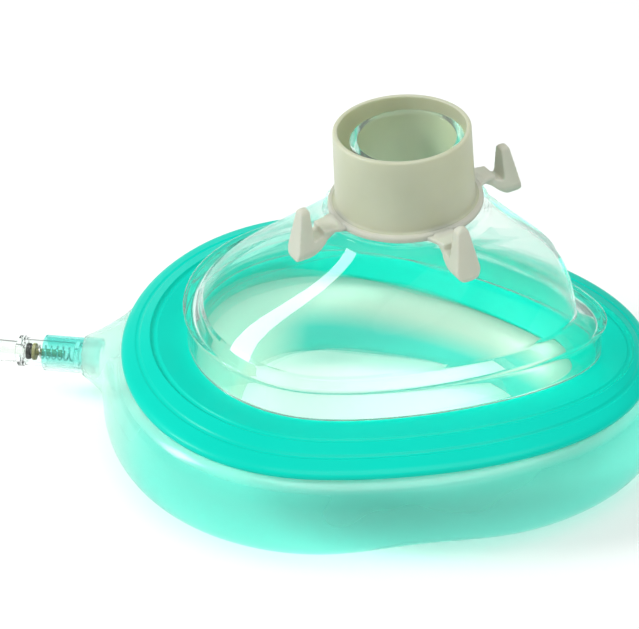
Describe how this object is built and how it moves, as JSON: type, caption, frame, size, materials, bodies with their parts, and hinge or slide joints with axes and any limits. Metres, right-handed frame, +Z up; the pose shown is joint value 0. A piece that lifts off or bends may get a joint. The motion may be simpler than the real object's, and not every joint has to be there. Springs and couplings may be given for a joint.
{
  "type": "anaesthesia face mask",
  "caption": "Resuscitation face mask: clear dome with a leaning 22 mm socket, loose hook ring for head straps, inflatable cushion on a teal carrier and a spring check filling valve.",
  "frame": {"origin": "centre of the bounding box in X and Y, in the plane the cushion rests on", "axes": "+X towards the nose end, -X towards the chin end with the filling valve, +Z up out of the breathing socket"},
  "size_m": [0.167, 0.1172, 0.0845],
  "materials": {
    "clear_shell": "clear moulded plastic with a faint green tint, glossy",
    "hook_plastic": "grey-beige translucent plastic, satin",
    "carrier_teal": "solid teal soft plastic, satin gloss",
    "cushion_film": "milky translucent teal film, smooth and soft",
    "clear_valve": "clear moulded plastic",
    "sleeve_teal": "translucent teal soft plastic tube",
    "plunger_plastic": "olive plastic",
    "seal_rubber": "black rubber",
    "spring_steel": "bright steel wire"
  },
  "bodies": {
    "mask": {"dome_shell": "clear_shell", "cushion_ring": "carrier_teal", "cushion_bladder": "cushion_film", "valve_luer_socket": "clear_valve", "valve_housing": "clear_valve", "valve_sleeve": "sleeve_teal", "valve_spring": "spring_steel"},
    "strap_ring": {"hook_ring": "hook_plastic"},
    "check_plunger": {"valve_plunger": "plunger_plastic", "valve_seal": "seal_rubber"}
  },
  "joints": [
    {"name": "hook_ring_turn", "type": "hinge", "parent": "mask", "child": "strap_ring", "pos_m": [0.02, 0, 0.0636], "axis": [-0.0628, 0, 0.998], "continuous": true},
    {"name": "check_plunger_slide", "type": "slide", "parent": "mask", "child": "check_plunger", "axis": [1, 0, 0], "range_m": [0, 0.002], "stiffness_N_per_m": 500, "springref_m": -0.0005, "deforming": ["valve_spring"]}
  ]
}
